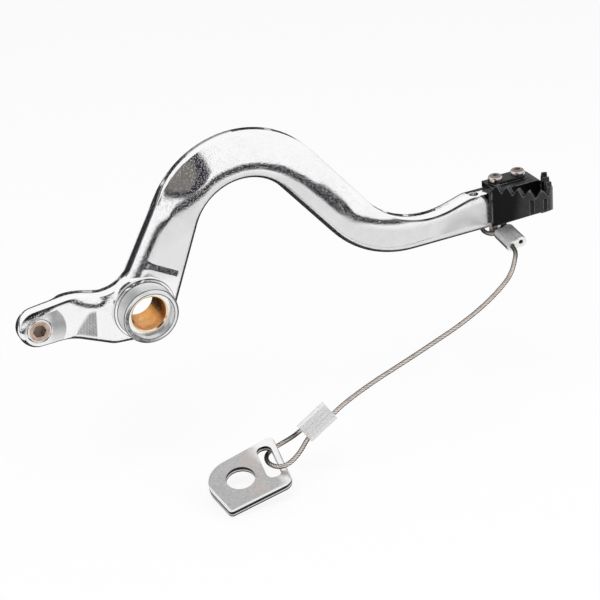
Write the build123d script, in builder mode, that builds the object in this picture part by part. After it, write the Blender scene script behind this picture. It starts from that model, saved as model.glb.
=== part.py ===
from build123d import *
import math
import os

os.makedirs("parts", exist_ok=True)

# Rear brake pedal of a motocross motorbike, in millimetres.
# X runs forward to the step, Y inboard and Z up. The origin is on the pivot axis.

# Arm: thickness and edge rounds of the forging
arm_thickness = 12.6
front_edge_round = 4.8
back_edge_round = 3.0

# Arm: the arch and the two straights that leave it
arch_center = Vector(48.8, 25.3)
arch_inner_radius = 23.1
arch_width = 20.1
leg_angle = 65.0
slope_angle = 46.0

# Arm: the dip behind the step, its upper and its lower edge
dip_radius = 38.0
dip_lead = 9.45
under_radius = 48.0

# Arm: the step pad, pitched up towards the front
pad_datum = Vector(160.7, 21.0)
pad_pitch = 5.0
pad_height = 17.0
pad_lead = 3.4
pad_lead_round = 12.0
pad_nose = 8.0
pad_corner_round = 5.0
hole_pitch = 11.5
pad_hole_radius = 2.25

# Arm: the pushrod lever behind the pivot
eye_center = Vector(-44.7, -2.7)
eye_radius = 8.2
hump = Vector(-28.3, 9.0)
hump_round = 25.0
crook_height = 5.2
crook_round = 14.0
belly_reach = 12.5
belly_round = 10.0
waist = Vector(-31.0, -9.5)
waist_round = 20.0
spot_face_depth = 1.2
back_face_depth = 4.0
spot_face_radius = 11.3
spot_face_cove = 4.6

# Pivot boss and its bush
boss_blank_radius = 16.2
boss_ring_radius = 12.2
boss_ring_height = 10.2
boss_flange_radius = 13.6
boss_flange_height = 2.4
boss_flange_round = 0.7
boss_cove = 0.6
boss_edge_round = 0.8
bush_outer_radius = 8.5
bush_bore_radius = 7.5
bush_lip_chamfer = 0.5
seal_seat_radius = 10.0
seal_seat_depth = 2.7

# Pushrod bolt, M6 with a socket head
bolt_radius = 3.0
bolt_head_radius = 5.0
bolt_head_height = 4.0
bolt_head_round = 0.6
bolt_socket_width = 5.0
bolt_socket_depth = 2.4
bolt_reach = 7.0
bolt_neck_radius = 2.5
bolt_neck_width = 0.8
bolt_tip_chamfer = 0.7
bolt_clearance = 0.1
counterbore_clearance = 0.5

# Step tip
tip_gap = 0.15
tip_wall = 2.4
saddle_thickness = 2.85
saddle_back = 6.9
saddle_inboard = 4.5
rib_half_width = 4.1
rib_height = 1.2
rib_back = 8.4
rib_front = 26.5
rib_corner_round = 3.5
rib_edge_round = 0.5
cheek_back = 4.3
cheek_drop = 13.6
cheek_corner_round = 2.5
nose_drop = 8.0
hoop_reach = 26.2
hoop_back_corner = 17.0
hoop_front_corner = 24.7
hoop_start = 5.3
hoop_end = 31.8
hoop_round = 5.0
hoop_top = 6.5
hoop_root_drop = 15.5
hoop_under_edge = -3.4
tooth_count = 9
tooth_crest = 0.7
tooth_depth = 3.4
flute_radius = 0.95
flute_pitches = (3.75, 4.75)
flute_sill = 0.5
notch_over = 0.5

# Tip screws, M4 with button heads: the rear one goes through to a thin nut
screw_radius = 2.0
screw_head_radius = 3.4
screw_head_height = 2.3
screw_head_round = 1.7
screw_socket_width = 2.5
screw_socket_depth = 1.4
screw_tip_chamfer = 0.4
screw_proud = 0.5
screw_short = 1.0
thread_clearance = 0.05
nut_width = 7.0
nut_height = 2.4

# Safety cable: wire rope with a crimped eye at each end
rope_radius = 1.05
rope_clamp_gap = 0.3
bend_share = 0.45
ferrule_width = 9.4
ferrule_thickness = 4.6
ferrule_corner = 1.3
ferrule_over = 0.4
ferrule_groove_width = 2.2
ferrule_groove_depth = 0.35
rope_route = [
    (173.7, -20.9, 3.8),
    (174.5, -14.0, 4.0),
    (175.2, -6.9, 4.1),
    (177.0, -1.8, 4.1),
    (177.0, 5.4, 3.9),
    (168.2, 5.6, 1.4),
    (167.8, -1.8, 0.8),
    (171.2, -6.9, 2.6),
    (170.5, -14.0, 2.5),
    (169.7, -20.9, 2.3),
    (168.3, -26.5, 1.8),
    (165.4, -30.5, 0.1),
    (162.6, -33.0, -4.0),
    (158.9, -34.0, -8.3),
    (150.1, -34.0, -16.2),
    (137.6, -34.0, -24.0),
    (122.9, -34.0, -30.8),
    (108.4, -34.0, -37.3),
    (93.6, -34.0, -43.6),
    (80.4, -34.4, -50.3),
    (74.4, -35.2, -54.1),
    (68.5, -35.3, -58.6),
    (62.6, -35.3, -62.8),
    (57.0, -40.1, -65.7),
    (50.9, -42.7, -68.7),
    (46.1, -41.7, -70.3),
    (43.8, -35.5, -71.2),
    (45.6, -28.1, -72.4),
    (49.7, -23.0, -72.9),
    (55.1, -22.0, -71.4),
    (59.0, -27.5, -65.5),
    (60.4, -32.7, -59.9),
    (66.6, -32.8, -55.5),
    (72.3, -32.7, -51.2),
]

# Anchor tab: one steel strip, folded back on itself and trimmed askew
tab_hole_center = Vector(30.53, -36.0, -75.73)
tab_fold_way = Vector(0.9761, -0.1339, 0.1713)
tab_normal = Vector(-0.1969, -0.2099, 0.9577)
tab_sheet = 1.2
tab_fold_gap = 0.4
tab_fold_reach = 19.1
tab_hole_radius = 6.4
tab_corners = [(-9.8, -17.6), (20.8, -11.2), (20.8, 18.8), (-17.2, 8.4)]
tab_corner_rounds = [1.8, 5.5, 3.0, 13.0]
tab_window_back = 10.9
tab_window_front = 17.6
tab_window_low = -5.4
tab_window_high = 13.8
tab_window_round = 3.0

# Levels and places worked out from the values above
arm_face = arm_thickness / 2
arch_outer_radius = arch_inner_radius + arch_width
pad_length = 2 * hole_pitch + pad_nose
boss_front = arm_face + boss_ring_height
flange_front = arm_face + boss_flange_height
bush_front = boss_front - seal_seat_depth
bush_back = arm_face - seal_seat_depth
eye_face = arm_face - spot_face_depth
eye_back_face = arm_face - back_face_depth
bolt_seat = eye_face - bolt_head_height - bolt_clearance
cheek_inner = arm_face + tip_gap
cheek_outer = cheek_inner + tip_wall
cheek_middle = cheek_inner + tip_wall / 2
hoop_edge = hoop_reach + tip_wall / 2
tip_nose = pad_length + tip_gap + tip_wall
nose_inner_round = pad_corner_round + tip_gap
nose_outer_round = nose_inner_round + tip_wall
saddle_top = tip_gap + saddle_thickness
screw_seat = saddle_top + rib_height
screw_stations = (hole_pitch, 2 * hole_pitch)
nut_seat = -pad_height - 2 * (rope_radius + rope_clamp_gap)
thread_radius = screw_radius + thread_clearance
tab_half_depth = tab_sheet + tab_fold_gap / 2
origin_2d = Vector(0, 0)
inboard = Vector(0, 1, 0)


def heading(angle):
    """Unit vector at an angle in degrees."""
    return Vector(math.cos(math.radians(angle)), math.sin(math.radians(angle)))


def polar_point(center, radius, angle):
    """Point on a circle at an angle in degrees."""
    return center + heading(angle) * radius


def touch_point(point, center, radius, left):
    """Where the line from a point touches a circle that lies on its left or right."""
    gap = center - point
    lean = math.degrees(math.asin(radius / gap.length))
    reach = math.sqrt(gap.length**2 - radius**2)
    return point + gap.normalized().rotate(Axis.Z, -lean if left else lean) * reach


def foot_point(point, line_point, line_way):
    """Foot of the perpendicular from a point to a line."""
    return line_point + line_way * (point - line_point).dot(line_way)


def nest_center(first_point, first_way, second_point, second_way, radius):
    """Centre of the circle that touches two lines and lies on the left of both."""
    first = first_point + first_way.rotate(Axis.Z, 90) * radius
    second = second_point + second_way.rotate(Axis.Z, 90) * radius
    run = (second - first).cross(second_way).Z / first_way.cross(second_way).Z
    return first + first_way * run


def lead_center(point, lead, line_point, line_way, radius):
    """Centre of the circle that touches a line and ends a lead of a given length before a point."""
    offset_point = line_point + line_way.rotate(Axis.Z, 90) * radius
    foot = foot_point(point, offset_point, line_way)
    span = math.sqrt(radius**2 + lead**2 - (point - foot).length ** 2)
    return foot - line_way * span


def cross_tangent(first_center, first_radius, second_center, second_radius):
    """Touch points of the line that passes between two circles, first one on its left."""
    gap = second_center - first_center
    bearing = math.degrees(math.atan2(gap.Y, gap.X))
    lean = math.degrees(math.acos((first_radius + second_radius) / gap.length))
    angle = bearing - lean
    return (
        polar_point(first_center, first_radius, angle),
        polar_point(second_center, -second_radius, angle),
    )


def short_arc(start, end, center, radius):
    """Arc of less than half a turn about a centre."""
    middle = ((start + end) * 0.5 - center).normalized() * radius + center
    return ThreePointArc(start, middle, end)


def mid_point(first, second):
    """Point half way between two points."""
    return (Vector(*first) + Vector(*second)) * 0.5


# Places on the arm's outline, seen from outboard as X and Z
slope_way = heading(-slope_angle)
pad_way = heading(pad_pitch)
pad_up = heading(pad_pitch + 90)
leg_top = polar_point(arch_center, arch_outer_radius, leg_angle + 90)
slope_top = polar_point(arch_center, arch_outer_radius, 90 - slope_angle)
slope_under = polar_point(arch_center, arch_inner_radius, 90 - slope_angle)
leg_foot, leg_under = cross_tangent(origin_2d, boss_blank_radius, arch_center, arch_inner_radius)
leg_run = (leg_top.Y - crook_height) / math.sin(math.radians(leg_angle))
crook = leg_top - heading(leg_angle) * leg_run
pad_start = pad_datum - pad_way * pad_lead
pad_top_end = pad_datum + pad_way * pad_length
pad_bottom_end = pad_top_end - pad_up * pad_height
dip_center = lead_center(pad_start, dip_lead, slope_top, slope_way, dip_radius)
dip_in = foot_point(dip_center, slope_top, slope_way)
dip_out = touch_point(pad_start, dip_center, dip_radius, left=False)
under_center = nest_center(slope_under, slope_way, pad_bottom_end, pad_way, under_radius)
under_in = foot_point(under_center, slope_under, slope_way)
under_out = foot_point(under_center, pad_bottom_end, pad_way)
boss_bottom = Vector(0, -boss_blank_radius)
belly = Vector(-belly_reach, -boss_blank_radius)
eye_top = touch_point(hump, eye_center, eye_radius, left=True)
eye_bottom = touch_point(waist, eye_center, eye_radius, left=False)
eye_end = eye_center - Vector(eye_radius, 0)
eye_origin = Vector(eye_center.X, 0, eye_center.Y)
spot_rim = spot_face_radius + spot_face_cove

# Planes of the step: its plan on the pad, its side and its section
pad_origin = Vector(pad_datum.X, 0, pad_datum.Y)
pad_along = Vector(pad_way.X, 0, pad_way.Y)
pad_normal = Vector(pad_up.X, 0, pad_up.Y)
tip_plan = Plane(origin=pad_origin, x_dir=pad_along, z_dir=pad_normal)
tip_side = Plane(origin=pad_origin, x_dir=pad_along, z_dir=-inboard)
tip_section = Plane(origin=pad_origin, x_dir=inboard, z_dir=pad_along)


def band_spot(wire, distance):
    """Point on the hoop's crest line, and the ways along and out of the band there."""
    spot = wire.position_at(distance, position_mode=PositionMode.LENGTH)
    way = wire.tangent_at(distance, position_mode=PositionMode.LENGTH)
    band_way = pad_along * way.X + inboard * way.Y
    crest = pad_origin + pad_along * spot.X + inboard * spot.Y + pad_normal * hoop_top
    return crest, band_way, band_way.cross(pad_normal)


# Pedal arm: the forging, drilled and bored
with BuildPart() as pedal_arm:
    with BuildSketch(Plane.XZ):
        with BuildLine():
            ThreePointArc(eye_bottom, eye_end, eye_top)
            FilletPolyline(eye_top, hump, crook, leg_top, radius=[hump_round, crook_round])
            short_arc(leg_top, slope_top, arch_center, arch_outer_radius)
            Line(slope_top, dip_in)
            short_arc(dip_in, dip_out, dip_center, dip_radius)
            FilletPolyline(
                dip_out,
                pad_start,
                pad_top_end,
                pad_bottom_end,
                under_out,
                radius=[pad_lead_round, pad_corner_round, pad_corner_round],
            )
            short_arc(under_out, under_in, under_center, under_radius)
            Line(under_in, slope_under)
            short_arc(slope_under, leg_under, arch_center, arch_inner_radius)
            Line(leg_under, leg_foot)
            short_arc(leg_foot, boss_bottom, origin_2d, boss_blank_radius)
            FilletPolyline(boss_bottom, belly, waist, eye_bottom, radius=[belly_round, waist_round])
        make_face()
    extrude(amount=arm_face, both=True)
    fillet(pedal_arm.faces().sort_by(Axis.Y)[0].edges(), front_edge_round)
    fillet(pedal_arm.faces().sort_by(Axis.Y)[-1].edges(), back_edge_round)
    # Spot faces on both sides of the pushrod eye, with a cove up to the arm's faces
    for arm_level, eye_level in ((-arm_face, -eye_face), (arm_face, eye_back_face)):
        with BuildSketch(Plane(origin=eye_origin, x_dir=(1, 0, 0), z_dir=(0, 0, 1))):
            with BuildLine():
                Polyline(
                    (spot_rim, arm_level),
                    (spot_rim, 2 * arm_level),
                    (0, 2 * arm_level),
                    (0, eye_level),
                    (spot_face_radius, eye_level),
                )
                TangentArc((spot_face_radius, eye_level), (spot_rim, arm_level), tangent=(1, 0))
            make_face()
        revolve(axis=Axis(eye_origin, inboard), mode=Mode.SUBTRACT)
    # Turned boss: a flange and a taller ring, outboard of the arm
    with BuildSketch(Plane.XY):
        with BuildLine():
            FilletPolyline(
                (0, 0),
                (boss_flange_radius, 0),
                (boss_flange_radius, -flange_front),
                (boss_ring_radius, -flange_front),
                (boss_ring_radius, -boss_front),
                (0, -boss_front),
                radius=[0, boss_flange_round, boss_cove, boss_edge_round],
            )
            Line((0, -boss_front), (0, 0))
        make_face()
    revolve(axis=Axis.Y)
    with BuildSketch(Plane.XZ.offset(-arm_face)):
        Circle(bush_outer_radius)
    extrude(amount=arm_face + boss_front, mode=Mode.SUBTRACT)
    for seat_plane in (Plane.XZ.offset(bush_front), Plane.XZ.offset(-arm_face)):
        with BuildSketch(seat_plane):
            Circle(seal_seat_radius)
        extrude(amount=seal_seat_depth, mode=Mode.SUBTRACT)
    # Pushrod eye: bolt hole and head counterbore
    eye_place = Vector(eye_center.X, eye_center.Y)
    with BuildSketch(Plane.XZ.offset(-arm_face)):
        with Locations(eye_place):
            Circle(bolt_radius + bolt_clearance)
    extrude(amount=arm_thickness, mode=Mode.SUBTRACT)
    with BuildSketch(Plane.XZ.offset(bolt_seat)):
        with Locations(eye_place):
            Circle(bolt_head_radius + counterbore_clearance)
    extrude(amount=arm_face - bolt_seat, mode=Mode.SUBTRACT)
    # Step pad: a row of upright holes, the rearmost one spare and the foremost one tapped
    with BuildSketch(tip_plan.offset(-pad_height)):
        with Locations((0, 0), (screw_stations[0], 0)):
            Circle(pad_hole_radius)
        with Locations((screw_stations[1], 0)):
            Circle(thread_radius)
    extrude(amount=pad_height, mode=Mode.SUBTRACT)
pedal_arm.part.label = "pedal_arm"
export_step(pedal_arm.part, "parts/pedal_arm.step")

# Pivot bush: plain bronze tube, pressed in between the two seal seats
with BuildPart() as pivot_bush:
    with BuildSketch(Plane.XZ.offset(-bush_back)):
        Circle(bush_outer_radius)
        Circle(bush_bore_radius, mode=Mode.SUBTRACT)
    extrude(amount=bush_back + bush_front)
    bush_ends = pivot_bush.faces().filter_by(Plane.XZ)
    bush_lips = bush_ends.edges().filter_by(lambda edge: edge.radius < bush_outer_radius)
    chamfer(bush_lips, bush_lip_chamfer)
pivot_bush.part.label = "pivot_bush"
export_step(pivot_bush.part, "parts/pivot_bush.step")

# Pushrod bolt: its head lies in the eye and its shank stands out inboard
bolt_plane = Plane(origin=eye_origin - inboard * bolt_seat, x_dir=(1, 0, 0), z_dir=-inboard)
with BuildPart() as pushrod_bolt:
    with BuildSketch(bolt_plane):
        Circle(bolt_head_radius)
    extrude(amount=bolt_head_height)
    fillet(pushrod_bolt.faces().sort_by(Axis.Y)[0].edges(), bolt_head_round)
    with BuildSketch(bolt_plane):
        Circle(bolt_radius)
    extrude(amount=-(bolt_seat + eye_back_face + bolt_reach))
    chamfer(pushrod_bolt.faces().sort_by(Axis.Y)[-1].edges(), bolt_tip_chamfer)
    with BuildSketch(bolt_plane.offset(-bolt_seat - eye_back_face)):
        Circle(bolt_radius)
        Circle(bolt_neck_radius, mode=Mode.SUBTRACT)
    extrude(amount=-bolt_neck_width, mode=Mode.SUBTRACT)
    with BuildSketch(bolt_plane.offset(bolt_head_height)):
        RegularPolygon(bolt_socket_width / 2, 6, major_radius=False)
    extrude(amount=-bolt_socket_depth, mode=Mode.SUBTRACT)
pushrod_bolt.part.label = "pushrod_bolt"
export_step(pushrod_bolt.part, "parts/pushrod_bolt.step")

# Step tip: saddle, cheek and nose over the pad, and a toothed hoop outboard
hoop_corners = [
    (hoop_start, -cheek_middle),
    (hoop_back_corner, -hoop_reach),
    (hoop_front_corner, -hoop_reach),
    (hoop_end, -cheek_middle),
]
with BuildPart() as step_tip:
    with BuildSketch(tip_plan.offset(-hoop_root_drop)):
        with BuildLine() as hoop_line:
            FilletPolyline(*hoop_corners, radius=hoop_round)
        trace(line_width=tip_wall)
    extrude(amount=hoop_root_drop + hoop_top)
    # The hoop's lower edge climbs outboard
    with BuildSketch(tip_section):
        with BuildLine():
            Polyline(
                (-cheek_inner, -hoop_root_drop),
                (-hoop_edge, hoop_under_edge),
                (-hoop_edge, -2 * hoop_root_drop),
                (-cheek_inner, -2 * hoop_root_drop),
                close=True,
            )
        make_face()
    extrude(amount=2 * tip_nose, mode=Mode.SUBTRACT)
    # Notches between the teeth, square to the band, and two flutes below them
    hoop_wire = hoop_line.wire()
    tooth_pitch = hoop_wire.length / tooth_count
    notch_half = (tooth_pitch - tooth_crest) / 2
    notch_flare = notch_half * (1 + notch_over / tooth_depth)
    for notch in range(tooth_count + 1):
        crest, band_way, band_out = band_spot(hoop_wire, notch * tooth_pitch)
        with BuildSketch(Plane(origin=crest, x_dir=band_way, z_dir=band_out)):
            with BuildLine():
                Polyline(
                    (-notch_flare, notch_over),
                    (0, -tooth_depth),
                    (notch_flare, notch_over),
                    close=True,
                )
            make_face()
        extrude(amount=tip_wall, both=True, mode=Mode.SUBTRACT)
    for flute in flute_pitches:
        crest, band_way, band_out = band_spot(hoop_wire, flute * tooth_pitch)
        flute_top = crest + band_out * (tip_wall / 2) - pad_normal * (tooth_depth + flute_sill)
        with BuildSketch(Plane(origin=flute_top, x_dir=band_way, z_dir=-pad_normal)):
            Circle(flute_radius)
        extrude(amount=hoop_top - hoop_under_edge, mode=Mode.SUBTRACT)
    with BuildSketch(tip_side.offset(cheek_inner)):
        with BuildLine():
            FilletPolyline(
                (cheek_back, saddle_top),
                (cheek_back, -cheek_drop),
                (tip_nose, -cheek_drop),
                (tip_nose, saddle_top),
                (cheek_back, saddle_top),
                radius=[0, cheek_corner_round, cheek_corner_round, nose_outer_round],
                close=True,
            )
        make_face()
    extrude(amount=tip_wall)
    with BuildSketch(tip_side.offset(-saddle_inboard)):
        with BuildLine():
            FilletPolyline(
                (saddle_back, tip_gap),
                (saddle_back, saddle_top),
                (tip_nose, saddle_top),
                (tip_nose, -nose_drop),
                (pad_length + tip_gap, -nose_drop),
                (pad_length + tip_gap, tip_gap),
                (saddle_back, tip_gap),
                radius=[0, 0, nose_outer_round, 0, 0, nose_inner_round],
                close=True,
            )
        make_face()
    extrude(amount=saddle_inboard + cheek_outer)
    # Raised rib under the two screw heads
    with BuildSketch(tip_plan.offset(saddle_top)):
        with Locations(((rib_back + rib_front) / 2, 0)):
            RectangleRounded(rib_front - rib_back, 2 * rib_half_width, rib_corner_round)
    extrude(amount=rib_height)
    rib_top = step_tip.faces(Select.LAST).sort_by(Axis(pad_origin, pad_normal))[-1]
    fillet(rib_top.edges(), rib_edge_round)
    with BuildSketch(tip_plan):
        with Locations(*[(station, 0) for station in screw_stations]):
            Circle(pad_hole_radius)
    extrude(amount=screw_seat, mode=Mode.SUBTRACT)
step_tip.part.label = "step_tip"
export_step(step_tip.part, "parts/step_tip.step")


def pad_place(station, height):
    """Plane square to the pad at a hole station, at a height above the pad."""
    return Plane(tip_plan.offset(height).location * Location((station, 0, 0)))


# Tip screws: the rear one reaches through to the nut, the front one ends in its tapped hole
screw_tips = (nut_seat - nut_height - screw_proud, screw_short - pad_height)
for place, station, screw_tip in zip(("rear", "front"), screw_stations, screw_tips):
    with BuildPart() as tip_screw:
        with BuildSketch(pad_place(station, screw_seat)):
            Circle(screw_head_radius)
        extrude(amount=screw_head_height)
        head_rim = tip_screw.edges().sort_by(Axis.Z)[-1]
        fillet(head_rim, screw_head_round)
        with BuildSketch(pad_place(station, screw_seat)):
            Circle(screw_radius)
        extrude(amount=screw_tip - screw_seat)
        shank_rim = tip_screw.edges().filter_by(GeomType.CIRCLE).sort_by(Axis.Z)[0]
        chamfer(shank_rim, screw_tip_chamfer)
        with BuildSketch(pad_place(station, screw_seat + screw_head_height)):
            RegularPolygon(screw_socket_width / 2, 6, major_radius=False)
        extrude(amount=-screw_socket_depth, mode=Mode.SUBTRACT)
    tip_screw.part.label = f"tip_screw_{place}"
    export_step(tip_screw.part, f"parts/tip_screw_{place}.step")

# Tip nut: thin, under the cable's upper eye
with BuildPart() as tip_nut:
    with BuildSketch(pad_place(screw_stations[0], nut_seat)):
        RegularPolygon(nut_width / 2, 6, major_radius=False)
        Circle(thread_radius, mode=Mode.SUBTRACT)
    extrude(amount=-nut_height)
tip_nut.part.label = "tip_nut"
export_step(tip_nut.part, "parts/tip_nut.step")

# Safety cable: one tube along straight runs and tangent arcs
rope_points = [Vector(*point) for point in rope_route]
rope_runs = [end - start for start, end in zip(rope_points, rope_points[1:])]
rope_bends = []
for run, next_run in zip(rope_runs, rope_runs[1:]):
    half_turn = math.radians(run.get_angle(next_run)) / 2
    rope_bends.append(bend_share * min(run.length, next_run.length) / math.tan(half_turn))
print("cable bend radii", [round(bend, 1) for bend in rope_bends])
with BuildPart() as safety_cable:
    with BuildLine() as rope_line:
        FilletPolyline(*rope_points, radius=rope_bends)
    with BuildSketch(Plane(origin=rope_line.line @ 0, z_dir=rope_line.line % 0)):
        Circle(rope_radius)
    sweep()
rope_length = rope_line.wire().length
rope_volume = math.pi * rope_radius**2 * rope_length
print("cable length", rope_length, "volume ratio", safety_cable.part.volume / rope_volume)
safety_cable.part.label = "safety_cable"
export_step(safety_cable.part, "parts/safety_cable.step")

# Ferrules: faceted sleeves crimped over the live rope and its dead end
ferrule_ends = {
    "upper": (rope_route[2], rope_route[7], rope_route[0], rope_route[9]),
    "lower": (rope_route[31], rope_route[22], rope_route[33], rope_route[20]),
}
for place, (dead_in, live_in, dead_out, live_out) in ferrule_ends.items():
    ferrule_start = mid_point(dead_in, live_in)
    ferrule_way = (mid_point(dead_out, live_out) - ferrule_start).normalized()
    ferrule_length = (mid_point(dead_out, live_out) - ferrule_start).length + ferrule_over
    ferrule_across = Vector(*dead_in) - Vector(*live_in)
    rope_spacing = ferrule_across.length
    with BuildPart() as ferrule:
        with BuildSketch(Plane(origin=ferrule_start, x_dir=ferrule_across, z_dir=ferrule_way)) as sleeve:
            Rectangle(ferrule_width, ferrule_thickness)
            chamfer(sleeve.vertices(), ferrule_corner)
            with Locations((0, ferrule_thickness / 2), (0, -ferrule_thickness / 2)):
                Rectangle(ferrule_groove_width, 2 * ferrule_groove_depth, mode=Mode.SUBTRACT)
            with Locations((rope_spacing / 2, 0), (-rope_spacing / 2, 0)):
                Circle(rope_radius, mode=Mode.SUBTRACT)
        extrude(amount=ferrule_length)
    ferrule.part.label = f"{place}_ferrule"
    export_step(ferrule.part, f"parts/{place}_ferrule.step")

# Anchor tab: both layers of the folded strip share the hole and the window
tab_plan = Plane(origin=tab_hole_center, x_dir=tab_fold_way, z_dir=tab_normal)
tab_edge_on = Plane(origin=tab_hole_center, x_dir=tab_plan.x_dir, z_dir=-tab_plan.y_dir)
tab_blank = tab_fold_reach + tab_half_depth
fold_inner = tab_fold_gap / 2
window_length = tab_window_front - tab_window_back
window_width = tab_window_high - tab_window_low
window_middle = ((tab_window_back + tab_window_front) / 2, (tab_window_low + tab_window_high) / 2)
with BuildPart() as anchor_tab:
    with BuildSketch(tab_edge_on):
        with BuildLine():
            Line((-tab_blank, tab_half_depth), (tab_fold_reach, tab_half_depth))
            RadiusArc((tab_fold_reach, tab_half_depth), (tab_fold_reach, -tab_half_depth), tab_half_depth)
            Polyline(
                (tab_fold_reach, -tab_half_depth),
                (-tab_blank, -tab_half_depth),
                (-tab_blank, -fold_inner),
                (tab_fold_reach, -fold_inner),
            )
            RadiusArc((tab_fold_reach, -fold_inner), (tab_fold_reach, fold_inner), -fold_inner)
            Polyline((tab_fold_reach, fold_inner), (-tab_blank, fold_inner), (-tab_blank, tab_half_depth))
        make_face()
    extrude(amount=tab_blank, both=True)
    with BuildSketch(tab_plan):
        with BuildLine():
            FilletPolyline(*tab_corners, tab_corners[0], radius=tab_corner_rounds, close=True)
        make_face()
    extrude(amount=2 * tab_half_depth, both=True, mode=Mode.INTERSECT)
    with BuildSketch(tab_plan.offset(-tab_half_depth)):
        Circle(tab_hole_radius)
        with Locations(window_middle):
            RectangleRounded(window_length, window_width, tab_window_round)
    extrude(amount=2 * tab_half_depth, mode=Mode.SUBTRACT)
anchor_tab.part.label = "anchor_tab"
export_step(anchor_tab.part, "parts/anchor_tab.step")
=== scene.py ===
import math

import bpy
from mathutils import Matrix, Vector


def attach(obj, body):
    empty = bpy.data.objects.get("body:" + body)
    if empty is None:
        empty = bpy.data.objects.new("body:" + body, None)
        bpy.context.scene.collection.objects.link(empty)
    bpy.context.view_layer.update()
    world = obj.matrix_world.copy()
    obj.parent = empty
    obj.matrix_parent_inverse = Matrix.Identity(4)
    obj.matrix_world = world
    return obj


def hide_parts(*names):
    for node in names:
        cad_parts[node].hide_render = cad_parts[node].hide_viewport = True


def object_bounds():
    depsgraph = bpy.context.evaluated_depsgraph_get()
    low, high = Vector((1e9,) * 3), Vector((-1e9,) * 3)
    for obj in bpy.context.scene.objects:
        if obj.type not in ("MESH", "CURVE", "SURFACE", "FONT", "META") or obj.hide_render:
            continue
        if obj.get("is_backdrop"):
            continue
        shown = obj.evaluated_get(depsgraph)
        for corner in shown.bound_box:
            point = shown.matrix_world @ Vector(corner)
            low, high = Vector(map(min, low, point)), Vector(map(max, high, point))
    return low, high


bl_info = {
    "name": "Brake Pedal Dressing",
    "version": (1, 0, 0),
    "blender": (4, 5, 0),
    "location": "3D View > Sidebar > Pedal",
    "description": "Dresses the solids of a rear brake pedal with finishes, its wire rope and a stage",
    "category": "Object",
}

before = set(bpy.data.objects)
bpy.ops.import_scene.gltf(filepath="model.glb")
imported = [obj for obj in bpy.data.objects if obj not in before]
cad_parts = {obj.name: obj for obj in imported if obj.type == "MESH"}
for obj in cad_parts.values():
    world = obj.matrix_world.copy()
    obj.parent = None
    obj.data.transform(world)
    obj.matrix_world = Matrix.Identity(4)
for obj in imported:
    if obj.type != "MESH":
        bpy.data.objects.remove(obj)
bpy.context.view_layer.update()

# Crowned sides of the arm, in millimetres: a line along them as X and Z, their slope on that line,
# square to it, and how fast the slope grows across it
CROWN = [
    (-56.0, -9.5, 0.5, 0.08), (-51.4, -2.3, 0.37, 0.08), (-44.6, 3.6, 0.29, 0.08),
    (-38.4, 6.6, 0.262, 0.07), (-33.2, 8.3, 0.25, 0.06), (-27.4, 6.6, 0.268, 0.05),
    (-21.1, 4.3, 0.25, 0.05), (-12.3, 4.8, 0.239, 0.05), (4.4, 35.0, 0.72, 0.03),
    (7.5, 37.6, 0.7, 0.03), (13.3, 40.3, 0.568, 0.032), (22.6, 44.0, 0.35, 0.03),
    (28.9, 47.8, 0.269, 0.028), (33.9, 51.9, 0.232, 0.027), (41.1, 54.2, 0.207, 0.026),
    (48.8, 55.2, 0.206, 0.026), (60.6, 52.3, 0.226, 0.027), (72.1, 47.6, 0.29, 0.026),
    (80.5, 41.4, 0.375, 0.02), (86.2, 35.7, 0.405, 0.018), (92.5, 28.8, 0.358, 0.02),
    (98.8, 23.3, 0.3, 0.028), (106.6, 19.8, 0.257, 0.038), (114.5, 17.5, 0.241, 0.044),
    (122.4, 16.2, 0.234, 0.046), (130.4, 15.9, 0.23, 0.048), (140.4, 17.0, 0.231, 0.045),
    (148.4, 19.0, 0.23, 0.045), (164.0, 21.8, 0.225, 0.045),
]
CROWN_START = -56.0
CROWN_LENGTH = 220.0
CROWN_RISE = 60.0
CROWN_REACH = (-12.0, -3.0)
CROWN_LIMIT = 1.1
ARCH_CENTER = (48.8, 25.3)
DESCENT_RATE = 0.03
RIM_CROWN = 0.16
CROOK_DROP = 0.2

# The leg's rear edge as a point and a direction, the slopes of its rounding, and the cove at its foot
LEG_TOP = (9.65, 43.56)
LEG_WAY = (0.4226, 0.9063)
LEG_LINE, LEG_SLOPE, LEG_RATE, LEG_LIMIT = 2.4, 0.62, 0.15, 0.95
COVE_LINE, COVE_SLOPE, COVE_FADE = 17.8, 0.285, (0.81, 2.7)

# Spans of the arm in millimetres, along X or, for the leg, up Z: each fades in between its first two
# numbers and out between its last two
SHOULDER_SPAN = (2.0, 8.0, 27.0, 36.0)
ARCH_SPAN = (-6.0, 2.0, 58.0, 70.0)
DESCENT_SPAN = (66.0, 76.0, 98.0, 106.0)
BOSS_SPAN = (-13.0, -10.0, 6.0, 13.0)
PAD_SPAN = (117.0, 127.0, 158.0, 163.0)
LEVER_SPAN = (-53.0, -49.0, -32.0, -27.0)
FAR_LINE_SPAN = (20.0, 27.0, 100.0, 110.0)
LEG_SPAN = (9.0, 13.0, 38.0, 47.0)

# Fades on the arm in millimetres, from the first number to the second
SHOULDER_RISE = (38.0, 44.0)
LEG_FRONT = (12.0, 20.0)
CROOK_FRONT, CROOK_RISE, CROOK_DEPTH = (8.0, 16.0), (6.0, 14.0), (-2.5, -0.5)
SIDE_DEPTH = (-7.0, -6.5)
NEAR_HALF, FAR_EDGE = (0.0, 2.0), (1.6, 2.6)
BELOW_LINE, FAR_BELOW_LINE = (1.0, 4.0), (8.0, 17.0)
PAST_BOSS, PAST_LEG, OVER_BOSS = (0.0, 5.0), (25.0, 40.0), (8.0, 14.0)
PAD_START = (136.0, 150.0)
STEP_SHADE, STEP_SHADE_RISE, STEP_SHADE_LEAN = (166.6, 168.6), (5.0, 8.0), 0.509

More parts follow.
